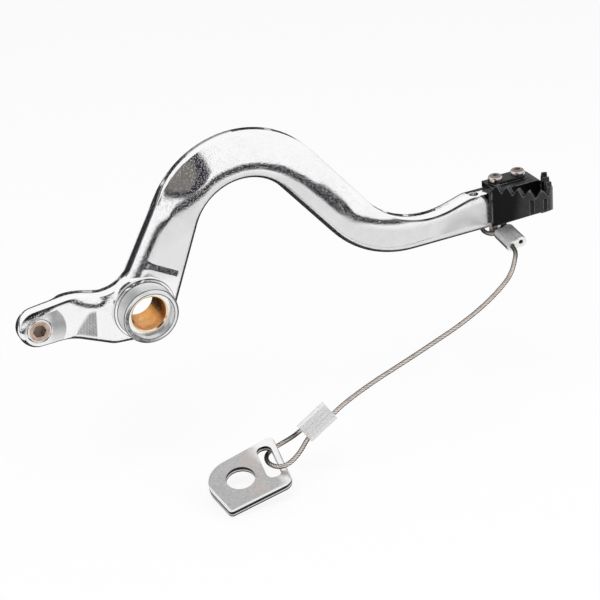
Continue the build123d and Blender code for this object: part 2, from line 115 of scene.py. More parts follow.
# Fades on the arm by the share of the normal along Y, which is 0 on the rims and 1 on the flat sides
FLAT_SIDE, BESIDE_STEP, MOST_OF_SIDE = (0.9, 0.99), (0.8, 0.99), (0.5, 0.9)
RIM_SIDE, WALL_SIDE = (0.05, 0.4), (0.3, 0.6)
LATE_ROUND, EARLY_ROUND = (0.15, 0.42), (0.03, 0.16)
LATE_CROWN, EARLY_CROWN = (0.10, 0.38), (0.02, 0.14)
BOSS_ROUND, RIDGE_ROUND = (0.2, 0.35, 0.75, 0.9), (0.26, 0.36, 0.48, 0.62)

# The same by its share along Z
UPPER_EDGE, RIDGE_RISE, FAR_LINE_RISE = (-0.05, 0.1), (0.1, 0.2), (0.1, 0.3)

# Turned details in millimetres: the pushrod eye's axis as X and Z, radii, levels along Y, the side of
# the boss that gets painted shade as a direction, and turning marks in radians per millimetre
EYE_PLACE = (-44.7, -2.7)
EYE_FACE_RADIUS, EYE_FACE_LEVEL = (11.0, 11.6), (-5.6, -5.4)
EYE_SHADE_FRONT, EYE_SHADE_RISE = (2.0, 6.5), (-11.0, 5.0)
BOSS_FACE_LEVEL, BOSS_RIM_LEVEL, BOSS_FOOT_LEVEL = (-15.6, -15.2), (-15.6, -14.9), (-7.2, -6.7)
BOSS_RADIUS, BOSS_RIM_RADIUS, BOSS_ROUND_RADIUS = (15.5, 17.0), (11.2, 11.5), (10.4, 10.8)
SEAT_WALL_RADIUS, SEAT_LINE_RADIUS = (10.2, 10.8), (10.3, 10.5)
BOSS_SHADED_SIDE, BOSS_WALL_HAZE = (-0.8, -0.6), 0.6
EYE_MARKS, BOSS_MARKS, BUSH_MARKS, BOLT_MARKS = 21.0, 26.0, 14.0, 18.0
BOLT_RIM, BOLT_SOCKET = (4.2, 4.7), (2.4, 2.9)

# The hatched patch on the lever, in millimetres: a corner as X and Z, its rear's lean and its fades
PATCH_CORNER, PATCH_LEAN = (-23.9, 1.9), 0.744
PATCH_REAR, PATCH_FRONT, PATCH_TOP = (-1.0, 1.5), (-21.0, -20.2), (1.0, 3.0)
HATCH_UP, HATCH_DOWN = 4.6, 5.2

# The step: its hoop along X and Y in millimetres, the reach of its nooks in metres and its screws' way
HOOP_START, HOOP_DEPTH = (171.0, 174.0), (-17.0, -14.0)
NOOK_REACH = 0.0015
SCREW_WAY = (-0.0872, 0.0, 0.9962)

# The anchor tab: its hole in metres, the directions through the sheet and from the hole to the slot,
# and the sheet's long and short ways
TAB_HOLE = (0.03053, -0.0360, -0.07573)
TAB_WAY = (-0.1969, -0.2099, 0.9577)
TAB_SLOT_WAY = (0.971, 0.092, 0.220)
TAB_LONG_WAY = (0.9761, -0.1339, 0.1713)
TAB_SHORT_WAY = (0.0923, 0.9685, 0.2312)

# Two edges of the tab, as shares of its long and short ways and a distance from the hole, then the
# strip along them with a painted highlight, the rubbed end and the two sheets, all in millimetres
TAB_FRONT, TAB_END = (-0.205, 0.979, 15.22), (0.962, 0.274, 14.25)
TAB_RIM, TAB_RUBBED_END = (0.9, 1.5), (14.0, 20.0)
UPPER_SHEET, LOWER_SHEET = (0.6, 1.0), (-0.75, -0.6, -0.2, -0.1)

# Heights of the fine relief and radii of the softened edges, in metres
ARM_RELIEF, BUSH_RELIEF, BOLT_RELIEF, SCREW_RELIEF = 0.000012, 0.000012, 0.000008, 0.00001
STEP_RELIEF, WIRE_RELIEF, SLEEVE_RELIEF, TAB_RELIEF = 0.00003, 0.00002, 0.00006, 0.00004
HEAD_EDGE, STEP_EDGE, SLEEVE_EDGE, TAB_EDGE = 0.00018, 0.0006, 0.0003, 0.0004

# Further colours of the finishes and the stage
# Painted shade for one side of the bush, and a painted highlight for its lip
BUSH_SHADE, BUSH_LIP_HIGHLIGHT = (0.66, 0.27, 0.06, 1.0), (1.0, 0.86, 0.62, 1.0)
# A painted sheen and a painted edge highlight for the step
STEP_SHEEN, STEP_EDGE_HIGHLIGHT = (0.07, 0.07, 0.073, 1.0), (0.32, 0.32, 0.33, 1.0)
STEP_DUST = (0.03, 0.03, 0.031, 1.0)
# For the tab: stains, and a pale tone for its rubbed end and its painted edge highlight
TAB_STAIN, TAB_RUBBED_AND_HIGHLIGHT = (0.64, 0.53, 0.49, 1.0), (0.93, 0.93, 0.93, 1.0)
# Painted shade and a painted highlight for the tab's cut sides
TAB_EDGE_SHADE, TAB_EDGE_HIGHLIGHT = (0.02, 0.02, 0.022, 1.0), (0.8, 0.8, 0.8, 1.0)
CARD_DARK, SKYLINE_PALE = (0.03, 0.03, 0.035, 1.0), (0.9, 0.9, 0.9, 1.0)
SHOULDER_DARK, SHOULDER_BROWN = (0.035, 0.03, 0.04, 1.0), (0.19, 0.18, 0.165, 1.0)

# Wire rope: its route in millimetres, from its end in the upper sleeve to that in the lower one, then
# the sides of each of its tubes and how finely the route's spline is divided
ROPE_ROUTE = [
    (173.7, -20.9, 3.8), (174.5, -14.0, 4.0), (175.2, -6.9, 4.1), (177.0, -1.8, 4.1),
    (177.0, 5.4, 3.9), (168.2, 5.6, 1.4), (167.8, -1.8, 0.8), (171.2, -6.9, 2.6),
    (170.5, -14.0, 2.5), (169.7, -20.9, 2.3), (168.3, -26.5, 1.8), (165.4, -30.5, 0.1),
    (162.6, -33.0, -4.0), (158.9, -34.0, -8.3), (150.1, -34.0, -16.2), (137.6, -34.0, -24.0),
    (122.9, -34.0, -30.8), (108.4, -34.0, -37.3), (93.6, -34.0, -43.6), (80.4, -34.4, -50.3),
    (74.4, -35.2, -54.1), (68.5, -35.3, -58.6), (62.6, -35.3, -62.8), (57.0, -40.1, -65.7),
    (50.9, -42.7, -68.7), (46.1, -41.7, -70.3), (43.8, -35.5, -71.2), (45.6, -28.1, -72.4),
    (49.7, -23.0, -72.9), (55.1, -22.0, -71.4), (59.0, -27.5, -65.5), (60.4, -32.7, -59.9),
    (66.6, -32.8, -55.5), (72.3, -32.7, -51.2),
]
ROPE_SIDES = 8
ROUTE_FINENESS = 12

# How much thicker the strands are than ones that only touch, and how far they sink into the core
STRAND_SWELL, STRAND_SINK = 1.06, 0.8

# The stage, in metres: its floor, the world's grey on matt surfaces, the lamps as name, place, size and
# share of the power, and the camera
FLOOR_CORNERS = [(-6, -6), (6, -6), (6, 6), (-6, 6)]
FLOOR_GREYS, FLOOR_MIRRORED, FLOOR_GLOW, FLOOR_GLOW_SHARE = (0.93, 0.95), 0.95, 1.03, 0.8
MATT_LIGHT = 0.56
LAMPS = (
    ("lamp_over", (-0.35, -0.5, 1.1), 0.9, 1.0),
    ("lamp_side", (0.9, -0.6, 0.5), 0.6, 0.35),
)
SENSOR_WIDTH, NEAREST_SEEN = 36.0, 0.01

# Cards round the stage, in metres: the skyline's radius, sides and levels, the corners of the card
# under the arm, and two arcs on the floor as inner and outer radius, then start and end in degrees
SKYLINE_RADIUS, SKYLINE_SIDES = 1.2, 96
SKYLINE_LEVELS = (-0.082, -0.02, 0.12)
UNDER_CARD = [(-0.14, -0.012), (0.34, -0.012), (0.34, 0.30), (-0.14, 0.30)]
SIDE_CARD, FAR_CARD = (0.2, 1.15, 96.0, 142.0), (0.5, 1.15, 36.0, 96.0)
ARC_STEPS = 40
CARD_LIFT = 0.002

# The card mirrored in the arch's shoulder: the point it is seen from, its outline as azimuth and
# elevation in degrees, and the share and reach of the paler card inside it
SHOULDER_CARD_EYE = (0.02, -0.006, 0.055)
SHOULDER_CARD_REACH = 0.9
INNER_CARD_SHARE, INNER_CARD_REACH = 0.62, 0.873
SHOULDER_CARD = [
    (0, 6), (2, 11), (-6, 27), (-15, 41), (-26, 52), (-42, 58),
    (-60, 50), (-66, 35), (-60, 20), (-52, 12), (-40.5, 9.5), (-36, 9),
    (-30, 7.5), (-24, 5.5), (-18, 3.5), (-12, 3.2), (-6, 4),
]


class Strand:
    """A node socket of a finish. Arithmetic on it adds Math nodes."""

    def __init__(self, finish, socket):
        self.finish = finish
        self.socket = socket

    def other(self, name):
        """Another output of the same node."""
        return Strand(self.finish, self.socket.node.outputs[name])

    def math(self, operation, *operands):
        """A Math node on some sockets or numbers."""
        return self.finish.add("ShaderNodeMath", {"operation": operation}, dict(enumerate(operands)))

    def __add__(self, other):
        return self.math("ADD", self, other)

    __radd__ = __add__

    def __sub__(self, other):
        return self.math("SUBTRACT", self, other)

    def __rsub__(self, other):
        return self.math("SUBTRACT", other, self)

    def __mul__(self, other):
        return self.math("MULTIPLY", self, other)

    __rmul__ = __mul__

    def __truediv__(self, other):
        return self.math("DIVIDE", self, other)

    def __rtruediv__(self, other):
        return self.math("DIVIDE", other, self)

    def __neg__(self):
        return self.math("MULTIPLY", self, -1.0)

    def __abs__(self):
        return self.math("ABSOLUTE", self)

    def most(self, other):
        """The larger of the two values."""
        return self.math("MAXIMUM", self, other)

    def least(self, other):
        """The smaller of the two values."""
        return self.math("MINIMUM", self, other)

    def root(self):
        """The square root."""
        return self.math("SQRT", self)

    def sine(self):
        """The sine, in radians."""
        return self.math("SINE", self)

    def step(self, low, high):
        """A smooth step from 0 to 1 between two values."""
        return self.finish.add(
            "ShaderNodeMapRange",
            {"interpolation_type": "SMOOTHSTEP"},
            {"Value": self, "From Min": low, "From Max": high},
        )

    def fall(self, low, high):
        """A smooth step from 1 to 0 between two values."""
        return 1.0 - self.step(low, high)

    def span(self, ends):
        """A step up between the first two of four values, and down between the last two."""
        return self.step(*ends[:2]) * self.fall(*ends[2:])


class Finish:
    """A material or a world, and the one way to add nodes to it."""

    def __init__(self, name, library="materials"):
        self.owner = getattr(bpy.data, library).new(name)
        self.owner.use_nodes = True
        self.tree = self.owner.node_tree
        self.tree.nodes.clear()

    def add(self, kind, settings=None, inputs=None, output=0):
        """One node: its settings first, then the values or links of its sockets."""
        node = self.tree.nodes.new(kind)
        for name, value in (settings or {}).items():
            if name == "points":
                self.set_points(node.mapping, value)
            else:
                setattr(node, name, value)
        for name, value in (inputs or {}).items():
            if isinstance(value, Strand):
                self.tree.links.new(value.socket, node.inputs[name])
            else:
                node.inputs[name].default_value = value
        return Strand(self, node.outputs[output]) if len(node.outputs) else None

    def set_points(self, mapping, points):
        """The points of a float curve, level past both ends."""
        mapping.extend = "HORIZONTAL"
        mapping.use_clip = False
        curve = mapping.curves[0]
        curve.points[0].location = points[0]
        curve.points[-1].location = points[-1]
        for place in points[1:-1]:
            curve.points.new(*place)
        mapping.update()

    def place(self):
        """Object coordinates, in metres."""
        return self.add("ShaderNodeTexCoord", output="Object")

    def parts(self, vector):
        """X, Y and Z of a vector."""
        first = self.add("ShaderNodeSeparateXYZ", inputs={0: vector})
        return first, first.other("Y"), first.other("Z")

    def millimetres(self):
        """X, Y and Z of the place in millimetres."""
        return self.parts(self.vectors("SCALE", self.place(), Scale=1000.0))

    def normal(self):
        """The smooth normal."""
        return self.add("ShaderNodeNewGeometry", output="Normal")

    def aside(self, **normal):
        """0 where a surface faces the eye and 1 where it turns away, by its own or another normal."""
        return self.add("ShaderNodeLayerWeight", inputs={"Blend": 0.5, **normal}, output="Facing")

    def seen(self):
        """1 for what is seen straight, mirrored or through glass, and 0 for light on matt surfaces."""
        path = self.add("ShaderNodeLightPath", output="Is Camera Ray")
        return (path + path.other("Is Glossy Ray") + path.other("Is Transmission Ray")).least(1.0)

    def vectors(self, operation, *operands, **named):
        """A Vector Math node on some vectors."""
        inputs = {**dict(enumerate(operands)), **named}
        output = "Value" if operation == "DOT_PRODUCT" else "Vector"
        return self.add("ShaderNodeVectorMath", {"operation": operation}, inputs, output)

    def vector(self, x, y, z):
        """A vector of three values."""
        return self.add("ShaderNodeCombineXYZ", inputs={0: x, 1: y, 2: z})

    def noise(self, scale, detail=3.0, roughness=0.55, stretch=(1.0, 1.0, 1.0)):
        """A noise from 0 to 1, with its scale per metre and shares of it along X, Y and Z."""
        place = self.vectors("MULTIPLY", self.place(), stretch)
        inputs = {"Vector": place, "Scale": scale, "Detail": detail, "Roughness": roughness}
        return self.add("ShaderNodeTexNoise", inputs=inputs)

    def tint(self, first, second, share):
        """The mix of two colours."""
        return self.add("ShaderNodeMix", {"data_type": "RGBA"}, {0: share, 6: first, 7: second}, 2)

    def layers(self, tint, *layers):
        """A colour with others laid over it in turn, each as far as its share says."""
        for color, share in layers:
            tint = self.tint(tint, color, share)
        return tint

    def bump(self, height, distance, normal=None):
        """A bumped normal, with the height's unit as a length in metres."""
        inputs = {"Height": height, "Distance": distance, "Strength": 1.0}
        if normal is not None:
            inputs["Normal"] = normal
        return self.add("ShaderNodeBump", inputs=inputs)

    def soft_edge(self, radius):
        """The normal with its hard edges rounded off."""
        return self.add("ShaderNodeBevel", {"samples": 6}, {"Radius": radius})

    def close(self, shader):
        """The finished material, with a shader as its surface."""
        self.add("ShaderNodeOutputMaterial", inputs={"Surface": shader})
        return self.owner

    def surface(self, tint, roughness, normal, metallic=1.0, specular=0.5):
        """The finished material of a piece."""
        inputs = {"Base Color": tint, "Metallic": metallic, "Roughness": roughness, "Normal": normal}
        inputs["Specular IOR Level"] = specular
        return self.close(self.add("ShaderNodeBsdfPrincipled", inputs=inputs))

    def glow(self, color):
        """The finished material of a card, which shows its own tone and takes no light."""
        return self.close(self.add("ShaderNodeEmission", inputs={"Color": color, "Strength": 1.0}))


class ArmSurface:
    """A point on the arm, for its finish: where it lies, which way it faces and in which regions."""

    def __init__(self, finish):
        self.finish = finish
        self.x, self.y, self.z = finish.millimetres()
        self.normal = finish.normal()
        _, self.turn, self.rise = finish.parts(self.normal)
        self.facing = abs(self.turn)
        self.flat = self.facing.step(*FLAT_SIDE)
        self.shoulder = self.x.span(SHOULDER_SPAN) * self.z.step(*SHOULDER_RISE)
        self.on_side = self.eased(LATE_CROWN, EARLY_CROWN)
        self.grains = finish.noise(1500.0, 2.0, 0.6)
        self.hairs = finish.noise(1500.0, 4.0, 0.7, stretch=(1.0, 1.0, 6.0))
        self.find_turned()
        self.find_crown()

    def eased(self, late, early):
        """A fade from the rims to the sides that comes late, but early on the shoulder."""
        usual = self.facing.step(*late)
        return usual + (self.facing.step(*early) - usual) * self.shoulder

    def find_turned(self):
        """The boss with its face, wall and rounds, and the faced ring of the pushrod eye."""
        x, y, z, facing = self.x, self.y, self.z, self.facing
        self.boss_radius = length(x, z)
        self.boss_face = y.fall(*BOSS_FACE_LEVEL) * self.flat
        self.on_boss = self.boss_radius.fall(*BOSS_RADIUS) * y.fall(*BOSS_FOOT_LEVEL)
        self.boss_wall = self.on_boss * facing.fall(*WALL_SIDE)
        self.boss_rounds = self.on_boss * facing.span(BOSS_ROUND)
        self.eye_x, self.eye_z, self.eye_radius = from_eye(x, z)
        self.eye_face = self.eye_radius.fall(*EYE_FACE_RADIUS) * y.step(*EYE_FACE_LEVEL) * self.flat

    def find_crown(self):
        """The crown's line, how far the point lies across it, and the way across it."""
        self.line = self.profile([row[1] for row in CROWN], CROWN_RISE)
        climb = self.profile(self.climbs())
        square = 1.0 / (climb * climb + 1.0).root()
        from_x = self.x - ARCH_CENTER[0]
        from_z = self.z - ARCH_CENTER[1]
        reach = length(from_x, from_z).most(1.0)
        on_arch = self.x.span(ARCH_SPAN)
        across = (self.z - self.line) * square
        outward = reach - length(from_x, self.line - ARCH_CENTER[1])
        self.across = across + (outward - across) * on_arch
        self.way_x = (from_x / reach + climb * square) * on_arch - climb * square
        self.way_z = (from_z / reach - square) * on_arch + square

    def climbs(self):
        """How steeply the crown's line climbs at each of its points."""
        ends = zip([CROWN[0], *CROWN], [*CROWN[1:], CROWN[-1]])
        return [(after[1] - before[1]) / (after[0] - before[0]) for before, after in ends]

    def profile(self, values, scale=1.0):
        """A value along the arm, given at each point of the crown's line."""
        places = [(row[0] - CROWN_START) / CROWN_LENGTH for row in CROWN]
        points = [(place, value / scale) for place, value in zip(places, values)]
        share = (self.x - CROWN_START) / CROWN_LENGTH
        return scale * self.finish.add("ShaderNodeFloatCurve", {"points": points}, {"Value": share})


def length(first, second):
    """The length of two values square to each other."""
    return (first * first + second * second).root()


def from_eye(x, z):
    """How far a point lies from the pushrod eye's axis, along X, along Z and in all."""
    off_x, off_z = x - EYE_PLACE[0], z - EYE_PLACE[1]
    return off_x, off_z, length(off_x, off_z)


def opaque(tint):
    """A colour with full alpha."""
    return (*tint, 1.0)


def grey(level):
    """A grey with full alpha."""
    return (level, level, level, 1.0)


def shade(tint, share):
    """A colour made darker or lighter, with full alpha."""
    return (*[min(1.0, part * share) for part in tint], 1.0)


def wear(material, *nodes):
    """Gives the objects of some CAD nodes their material."""
    for node in nodes:
        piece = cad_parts[node]
        if not piece.material_slots:
            piece.data.materials.append(material)
            continue
        for slot in piece.material_slots:
            slot.link = "OBJECT"
            slot.material = material


def stand(name, data, spot, aim):
    """A lamp or camera at a spot, looking at its aim."""
    piece = bpy.data.objects.new(name, data)
    piece.location = spot
    piece.rotation_euler = (Vector(aim) - Vector(spot)).to_track_quat("-Z", "Y").to_euler()
    bpy.context.scene.collection.objects.link(piece)
    return piece


def carried_frames(centers):
    """Two directions across a line at each of its points, carried along without twist."""
    ends = [centers[0], *centers, centers[-1]]
    ways = [(after - before).normalized() for before, after in zip(ends, ends[2:])]
    side = ways[0].orthogonal().normalized()
    frames = []
    for way in ways:
        side = (side - way * side.dot(way)).normalized()
        frames.append((side, way.cross(side)))
    return frames


def bridged(first, rings, sides):
    """The faces between closed rings of vertices, from the first vertex on."""
    faces = []
    for low in range(first, first + (rings - 1) * sides, sides):
        for turn in range(sides):
            after = (turn + 1) % sides
            faces.append((low + turn, low + after, low + sides + after, low + sides + turn))
    return faces


def add_tube(verts, faces, middles, radius, sides):
    """Adds a closed tube round a line of points."""
    first = len(verts)
    for middle, (side, up) in zip(middles, carried_frames(middles)):
        for turn in range(sides):
            angle = math.tau * turn / sides
            verts.append(middle + (side * math.cos(angle) + up * math.sin(angle)) * radius)
    faces += bridged(first, len(middles), sides)
    last = first + (len(middles) - 1) * sides
    faces.append([first + turn for turn in reversed(range(sides))])
    faces.append([last + turn for turn in range(sides)])


def mesh_piece(name, verts, faces):
    """A new mesh object in the scene."""
    mesh = bpy.data.meshes.new(name)
    mesh.from_pydata(verts, [], faces)
    piece = bpy.data.objects.new(name, mesh)
    bpy.context.scene.collection.objects.link(piece)
    return piece


def flat_piece(name, corners, level):
    """A level sheet with the given corners."""
    verts = [(x, y, level) for x, y in corners]
    return mesh_piece(name, verts, [list(range(len(verts)))])


def ring_piece(name, radius, levels, sides):
    """An upright band round the object, in rows at some levels."""
    verts = []
    for level in levels:
        for turn in range(sides):
            angle = math.tau * turn / sides
            verts.append((radius * math.cos(angle), radius * math.sin(angle), level))
    return mesh_piece(name, verts, bridged(0, len(levels), sides))


def arc_piece(name, arc, level):
    """A level strip along an arc, between two radii and two angles in degrees."""
    inner, outer, start, end = arc
    verts = []
    for step in range(ARC_STEPS + 1):
        angle = math.radians(start + (end - start) * step / ARC_STEPS)
        for radius in (inner, outer):
            verts.append((radius * math.cos(angle), radius * math.sin(angle), level))
    faces = [(2 * n, 2 * n + 1, 2 * n + 3, 2 * n + 2) for n in range(ARC_STEPS)]
    return mesh_piece(name, verts, faces)


def leaf_piece(name, reach, share):
    """The shoulder's card, curved at one distance from its point, and drawn in by a share."""
    count = len(SHOULDER_CARD)
    middle = [sum(parts) / count for parts in zip(*SHOULDER_CARD)]
    verts = []
    for spot in [middle, *SHOULDER_CARD]:
        turn, lift = [math.radians(mid + (part - mid) * share) for mid, part in zip(middle, spot)]
        level = reach * math.cos(lift)
        side = Vector((level * math.sin(turn), -level * math.cos(turn), reach * math.sin(lift)))
        verts.append(Vector(SHOULDER_CARD_EYE) + side)
    faces = [(0, 1 + n, 1 + (n + 1) % count) for n in range(count)]
    return mesh_piece(name, verts, faces)


def color_property(name, description, default):
    """A colour that a user may change."""
    return bpy.props.FloatVectorProperty(
        name=name, description=description, default=default, subtype="COLOR", size=3, min=0.0, max=1.0
    )


class PedalFinishes(bpy.types.PropertyGroup):
    """Colours of the pedal's metals."""

    alloy: color_property("Alloy", "Polished forging of the arm", (0.96, 0.96, 0.965))
    turned: color_property(
        "Turned alloy", "Faced ring of the boss and the pushrod eye", (0.80, 0.81, 0.84)
    )
    bronze: color_property("Bronze", "Bush of the pivot", (0.80, 0.39, 0.11))
    plating: color_property("Plating", "Head of the pushrod bolt", (0.60, 0.45, 0.38))
    steel: color_property("Steel", "Screws and nut", (0.70, 0.68, 0.66))
    coating: color_property("Coating", "Black coat of the step", (0.0045, 0.0045, 0.005))
    rope: color_property("Rope", "Wires of the safety rope", (0.66, 0.59, 0.54))
    sleeve: color_property("Sleeve", "Soft alloy of the crimped sleeves", (0.93, 0.93, 0.93))
    tab: color_property("Tab", "Plated sheet of the anchor tab", (0.53, 0.525, 0.525))


class RopeSizes(bpy.types.PropertyGroup):
    """Sizes of the wire rope."""

    diameter: bpy.props.FloatProperty(
        name="Diameter", description="Across the rope's strands", default=0.0021, unit="LENGTH"
    )
    strands: bpy.props.IntProperty(
        name="Strands", description="Strands laid round the core", default=6, min=3, max=9
    )
    lay: bpy.props.FloatProperty(
        name="Lay", description="Length of one turn of a strand", default=0.0085, unit="LENGTH"
    )


class StageSetup(bpy.types.PropertyGroup):
    """Camera and light of the stage."""

    camera_place: bpy.props.FloatVectorProperty(
        name="Camera", description="Where the camera stands",
        default=(-0.2262, -0.6549, 0.3323), subtype="TRANSLATION", unit="LENGTH",
    )
    camera_aim: bpy.props.FloatVectorProperty(
        name="Aim", description="Point in the middle of the image",
        default=(0.075005, 0.0, -0.014588), subtype="TRANSLATION", unit="LENGTH",
    )
    lens: bpy.props.FloatProperty(
        name="Lens", description="Focal length on a 36 mm sensor", default=109.1, unit="CAMERA"
    )
    floor_drop: bpy.props.FloatProperty(
        name="Floor drop", description="Gap between the lowest piece and the floor",
        default=0.001, unit="LENGTH",
    )
    lamp_power: bpy.props.FloatProperty(
        name="Lamp power", description="Power of the large soft lamp", default=6.0, unit="POWER"
    )


class PEDAL_OT_finish_arm(bpy.types.Operator):
    """Polishes the forged arm, with its turned boss and pushrod eye"""

    bl_idname = "pedal.finish_arm"
    bl_label = "Finish the arm"

    def execute(self, context):
        tints = context.scene.pedal_finishes
        finish = Finish("polished_alloy")
        arm = ArmSurface(finish)
        normal = self.rounded_leg(arm, self.crowned_sides(arm))
        tint = finish.layers(
            opaque(tints.alloy),
            *self.boss_tones(arm, tints.turned),
            *self.lever_tones(arm, tints.turned),
            *self.side_tones(arm, tints.alloy),
        )
        normal = finish.bump(self.relief(arm), ARM_RELIEF, normal)
        metallic = 1.0 - arm.boss_wall * BOSS_WALL_HAZE
        wear(finish.surface(tint, self.roughness(arm), normal, metallic), "pedal_arm")
        return {"FINISHED"}

    def crowned_sides(self, arm):
        """The normal with edge rounds that start late and sides that are crowned along the arm."""
        finish, x, y, z = arm.finish, arm.x, arm.y, arm.z
        eased = arm.eased(LATE_ROUND, EARLY_ROUND) * arm.rise.step(*UPPER_EDGE)
        blunt = finish.vectors("SCALE", arm.normal, Scale=1.0 - eased)
        square_on = eased * arm.turn / arm.facing.most(0.01)
        blunt = finish.vectors("ADD", blunt, finish.vector(0.0, square_on, 0.0))
        slope = arm.profile([row[2] for row in CROWN])
        slope = slope + arm.profile([row[3] for row in CROWN]) * arm.across
        slope = slope + arm.across.most(0.0) * DESCENT_RATE * x.span(DESCENT_SPAN)
        slope = slope.most(0.0).least(CROWN_LIMIT) * arm.on_side
        slope = slope * (1.0 - x.span(BOSS_SPAN)) * (z - arm.line).step(*CROWN_REACH)
        on_rim = arm.facing.fall(*RIM_SIDE)
        crook = x.fall(*CROOK_FRONT) * z.step(*CROOK_RISE) * y.step(*CROOK_DEPTH)
        drop = on_rim * crook * CROOK_DROP
        crown = finish.vector(arm.way_x * slope, y * RIM_CROWN * on_rim, arm.way_z * slope - drop)
        return finish.vectors("ADD", blunt, crown)

    def rounded_leg(self, arm, normal):
        """The normal with the leg rounded towards its rear edge, and a cove at its foot."""
        finish, x, z = arm.finish, arm.x, arm.z
        back = (x - LEG_TOP[0]) * LEG_WAY[1] - (z - LEG_TOP[1]) * LEG_WAY[0]
        tilt = (LEG_SLOPE + (LEG_LINE - back) * LEG_RATE).most(0.0).least(LEG_LIMIT)
        tilt = tilt * arm.on_side * z.span(LEG_SPAN) * x.fall(*LEG_FRONT)
        foot = x * LEG_WAY[0] + z * LEG_WAY[1]
        cove = COVE_SLOPE * abs(foot - COVE_LINE).fall(*COVE_FADE)
        cove = cove * arm.flat * arm.y.step(*SIDE_DEPTH) * (1.0 - tilt / LEG_SLOPE).most(0.0)
        leg_lean = finish.vector(tilt * -LEG_WAY[1], 0.0, tilt * LEG_WAY[0])
        cove_lean = finish.vector(cove * LEG_WAY[0], 0.0, cove * LEG_WAY[1])
        for lean in (leg_lean, cove_lean):
            normal = finish.vectors("ADD", normal, lean)
        return finish.vectors("NORMALIZE", normal)

    def relief(self, arm):
        """Grains, hairs and pits that the polishing left, and the turning marks."""
        finish = arm.finish
        peel = finish.noise(420.0, 2.0)
        pits = finish.noise(2200.0, 1.0).step(0.61, 0.72)
        eye_marks = (arm.eye_radius * EYE_MARKS + finish.noise(900.0) * 3.0).sine()
        boss_marks = (arm.boss_radius * BOSS_MARKS + finish.noise(500.0) * 2.0).sine()
        polish = peel * 0.5 + arm.grains * 1.3 + arm.hairs * 0.2 - pits * 2.2
        return polish + (eye_marks * arm.eye_face + boss_marks * arm.boss_face) * 0.5

    def roughness(self, arm):
        """Smooth on the sides, and rougher where the arm is turned, on the boss and below the pad."""
        turned = arm.eye_face.most(arm.boss_face)
        below_pad = arm.x.step(*PAD_START) * (-arm.across).step(*BELOW_LINE)
        outer_wall = arm.boss_wall * (0.3 + arm.boss_radius.step(*SEAT_WALL_RADIUS) * 0.7)
        return 0.035 + arm.hairs * 0.05 + turned * 0.13 + below_pad * 0.2 + outer_wall * 0.2

    def boss_tones(self, arm, turned):
        """The turned ring of the boss, with painted shade on its low side and along its seat, and
        painted dark reflections on its rounds and its outer rim.
        """
        radius, face = arm.boss_radius, arm.boss_face
        speckle = arm.finish.noise(1900.0, 2.0).step(0.35, 0.6)
        shaded_side = (arm.x * BOSS_SHADED_SIDE[0] + arm.z * BOSS_SHADED_SIDE[1]) / radius.most(1.0)
        front_side = ((arm.x - arm.z) / radius.most(1.0)).step(-0.4, 0.5)
        outer_rim = arm.y.fall(*BOSS_RIM_LEVEL) * radius.step(*BOSS_RIM_RADIUS) * front_side
        return (
            (opaque(turned), face),
            # Painted shade on the low side of the ring, flecked
            (shade(turned, 0.05), face * shaded_side.step(0.0, 0.7) * (0.6 + speckle * 0.4)),
            # Painted shade along the edge of the seat
            (shade(turned, 0.05), face * radius.fall(*SEAT_LINE_RADIUS)),
            # Painted dark reflections on the rounds and along the front of the outer rim
            (shade(turned, 0.12), arm.boss_rounds * radius.step(*BOSS_ROUND_RADIUS)),
            (shade(turned, 0.03), outer_rim),
        )

    def lever_tones(self, arm, turned):
        """The eye's ring with a painted dark reflection over its forward part, streaked along the brush
        marks, and the hatched patch behind the boss.
        """
        x, z, noise = arm.x, arm.z, arm.grains * 3.0
        # Painted dark reflection over the forward part of the eye's ring, streaked along its brush
        # marks
        brushed_dark_reflection = arm.eye_face * arm.eye_x.step(*EYE_SHADE_FRONT) * arm.eye_z.step(*EYE_SHADE_RISE)
        rear = (x - PATCH_CORNER[0] - (z - PATCH_CORNER[1]) * PATCH_LEAN).step(*PATCH_REAR)
        patch = rear * x.fall(*PATCH_FRONT) * z.fall(*PATCH_TOP) * arm.flat
        hatch = ((x + z) * HATCH_UP + noise).sine() * ((x - z) * HATCH_DOWN + noise).sine()
        return (
            (shade(turned, 0.08), brushed_dark_reflection * (0.55 + arm.hairs * 0.45)),
            (shade(turned, 0.13), patch * (0.45 + hatch.step(-0.4, 0.3) * 0.5)),
        )

    def side_tones(self, arm, alloy):
        """Painted shade beside the step and below the crown's line, painted dark reflections along the
        edges, and smudges.
        """
        x, y, z, facing = arm.x, arm.y, arm.z, arm.facing
        # Painted shade on the side beside the step
        beside_step = (x + z * STEP_SHADE_LEAN).step(*STEP_SHADE) * z.step(*STEP_SHADE_RISE)
        beside_step = beside_step * facing.step(*BESIDE_STEP)
        # A painted dark reflection line on the upper near rounds of the pad and the lever
        ridge = facing.span(RIDGE_ROUND) * arm.rise.step(*RIDGE_RISE)
        ridge = ridge * (x.span(PAD_SPAN) + x.span(LEVER_SPAN)) * (-y).step(*NEAR_HALF)
        # Painted shade below the crown's line, easing off far below it
        under = arm.line - z
        shaded = under.step(*BELOW_LINE) * (1.0 - under.step(*FAR_BELOW_LINE) * 0.25)
        shaded = shaded * x.step(*PAST_BOSS) * x.step(*PAST_LEG).most(z.step(*OVER_BOSS))
        shaded = shaded * facing.step(*MOST_OF_SIDE) * (1.0 - arm.on_boss)
        # A painted dark reflection line along the far upper edge
        far_line = y.step(*FAR_EDGE) * arm.rise.step(*FAR_LINE_RISE) * x.span(FAR_LINE_SPAN)
        smudge = arm.finish.noise(130.0, 4.0).step(0.35, 0.75)
        return (
            (shade(alloy, 0.45), beside_step * 0.8),
            (shade(alloy, 0.03), ridge),
            (shade(alloy, 0.76), shaded),
            (shade(alloy, 0.05), far_line),
            (shade(alloy, 0.90), smudge * 0.35),
        )


